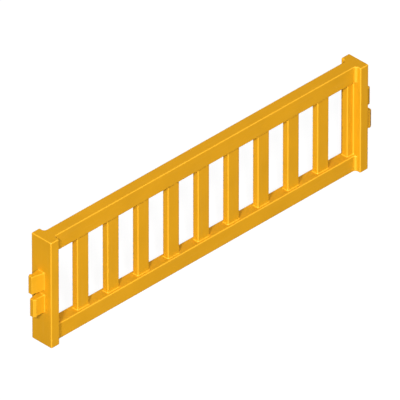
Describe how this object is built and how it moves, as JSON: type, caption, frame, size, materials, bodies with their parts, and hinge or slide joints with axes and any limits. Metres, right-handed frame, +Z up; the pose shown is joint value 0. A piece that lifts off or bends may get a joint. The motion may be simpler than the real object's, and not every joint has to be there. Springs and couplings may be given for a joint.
{
  "type": "crowd control barrier",
  "caption": "Long free-standing barrier panel of yellow plastic: flat bars between two rails and two deep end posts, with snap clips at both ends for joining panels in a row.",
  "frame": {"origin": "on the ground, at the middle of the barrier's length and depth", "axes": "+X along the barrier, -Y towards its front face, +Z up"},
  "size_m": [3.755, 0.219, 1],
  "materials": {
    "post_plastic": "satin moulded, fine grain",
    "rail_plastic": "satin moulded, fine grain",
    "baluster_plastic": "satin moulded, fine grain",
    "clip_plastic": "satin moulded, fine grain",
    "galvanised_steel": "galvanised",
    "zinc_fasteners": "zinc plated",
    "insert_brass": "turned",
    "plug_rubber": "moulded, matt"
  },
  "bodies": {
    "root": {"left_post": "post_plastic", "right_post": "post_plastic", "top_rail": "rail_plastic", "bottom_rail": "rail_plastic", "baluster_1": "baluster_plastic", "baluster_2": "baluster_plastic", "baluster_3": "baluster_plastic", "baluster_4": "baluster_plastic", "baluster_5": "baluster_plastic", "baluster_6": "baluster_plastic", "baluster_7": "baluster_plastic", "baluster_8": "baluster_plastic", "baluster_9": "baluster_plastic", "left_end_stile": "baluster_plastic", "right_end_stile": "baluster_plastic", "left_upper_clip": "clip_plastic", "left_lower_clip": "clip_plastic", "right_upper_clip": "clip_plastic", "right_lower_clip": "clip_plastic", "top_rail_steel_tube": "galvanised_steel", "bottom_rail_steel_tube": "galvanised_steel", "left_backing_plate": "galvanised_steel", "right_backing_plate": "galvanised_steel", "clip_bolts": "zinc_fasteners", "rail_screws": "zinc_fasteners", "clip_inserts": "insert_brass", "left_foot_plug": "plug_rubber", "right_foot_plug": "plug_rubber"}
  },
  "joints": []
}
